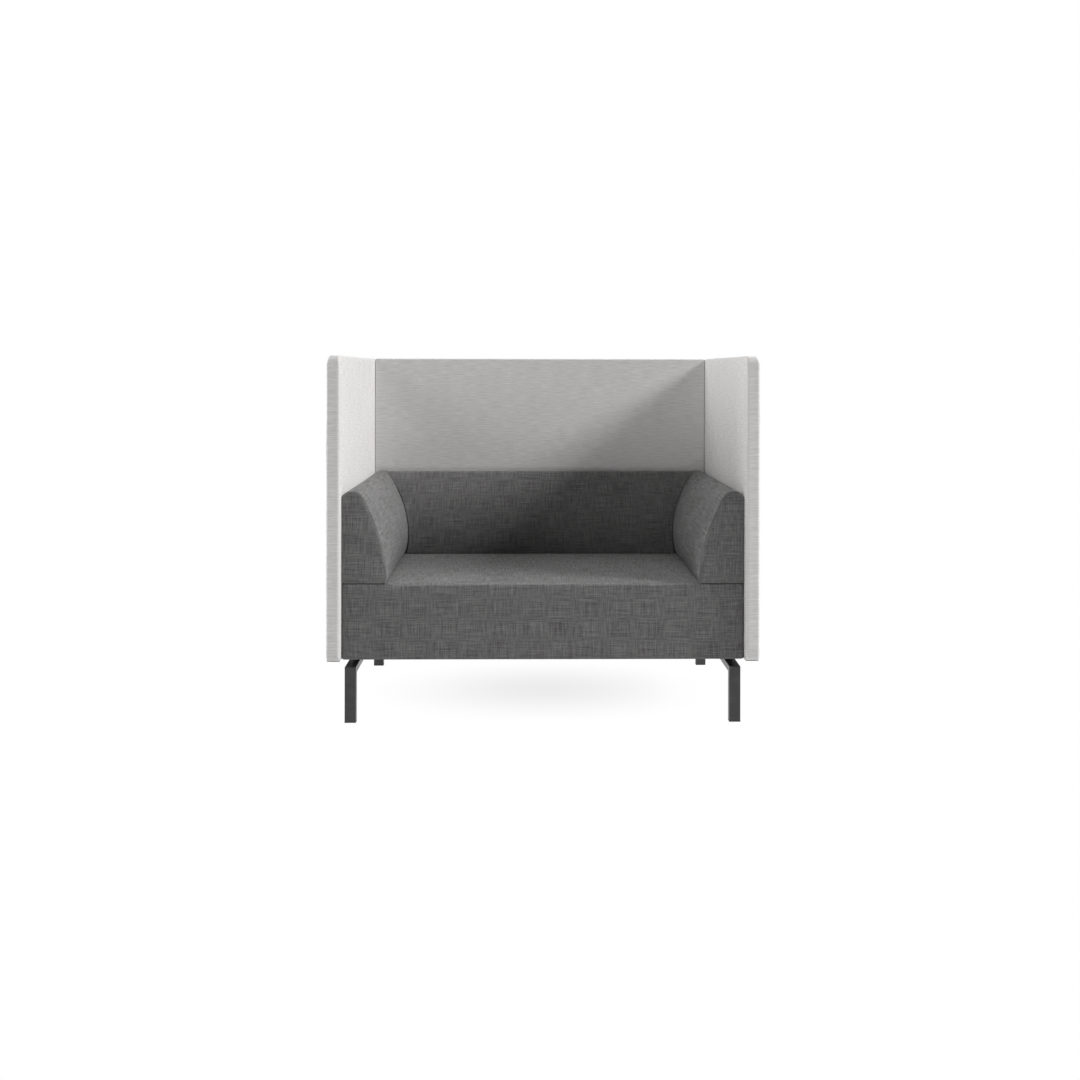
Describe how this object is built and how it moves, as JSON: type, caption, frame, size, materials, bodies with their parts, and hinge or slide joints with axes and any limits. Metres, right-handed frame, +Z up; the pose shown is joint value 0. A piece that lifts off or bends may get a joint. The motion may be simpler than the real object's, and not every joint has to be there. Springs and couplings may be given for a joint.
{
  "type": "lounge sofa",
  "caption": "Compact lounge sofa: dark upholstered seat, arms and back between tall light-grey padded privacy panels, on slim charcoal metal leg frames.",
  "frame": {"origin": "on the floor, in the middle of the sofa's outline", "axes": "+X to the right seen from the front, +Y to the rear panel, +Z up"},
  "size_m": [1.33, 0.77, 1.14],
  "materials": {
    "panel_fabric": "fine light grey woven wool blend",
    "seat_fabric": "coarse dark grey mottled weave",
    "leg_metal": "satin charcoal powder coat",
    "glide_plastic": "matte black",
    "fastener_steel": "zinc plated",
    "bush_plastic": "matte black",
    "frame_timber": "planed softwood",
    "plywood": "raw birch plywood",
    "webbing": "elastic woven strap",
    "foam": "open-cell seat foam",
    "wadding": "polyester wadding and thin foam",
    "dust_cloth": "black non-woven cloth"
  },
  "bodies": {
    "root": {"left_panel_cover": "panel_fabric", "right_panel_cover": "panel_fabric", "rear_panel_cover": "panel_fabric", "base_cover": "seat_fabric", "left_arm_cover": "seat_fabric", "right_arm_cover": "seat_fabric", "back_cover": "seat_fabric", "left_leg_frame": "leg_metal", "right_leg_frame": "leg_metal", "leg_spacers": "leg_metal", "foot_glides": "glide_plastic", "leg_bolts": "fastener_steel", "leg_inserts": "fastener_steel", "panel_bolts": "fastener_steel", "panel_inserts": "fastener_steel", "panel_bushes": "bush_plastic", "panel_closing_strips": "bush_plastic", "front_rail": "frame_timber", "rear_rail": "frame_timber", "left_rail": "frame_timber", "right_rail": "frame_timber", "center_brace": "frame_timber", "corner_blocks": "frame_timber", "left_arm_board": "plywood", "right_arm_board": "plywood", "left_arm_sole": "plywood", "right_arm_sole": "plywood", "back_board": "plywood", "back_sole": "plywood", "left_panel_board": "plywood", "right_panel_board": "plywood", "rear_panel_board": "plywood", "seat_webbing": "webbing", "cross_webbing": "webbing", "seat_foam": "foam", "left_arm_foam": "foam", "right_arm_foam": "foam", "back_foam": "foam", "front_padding": "wadding", "rear_padding": "wadding", "left_side_padding": "wadding", "right_side_padding": "wadding", "left_panel_padding": "wadding", "right_panel_padding": "wadding", "rear_panel_padding": "wadding", "dust_cover": "dust_cloth"}
  },
  "joints": []
}
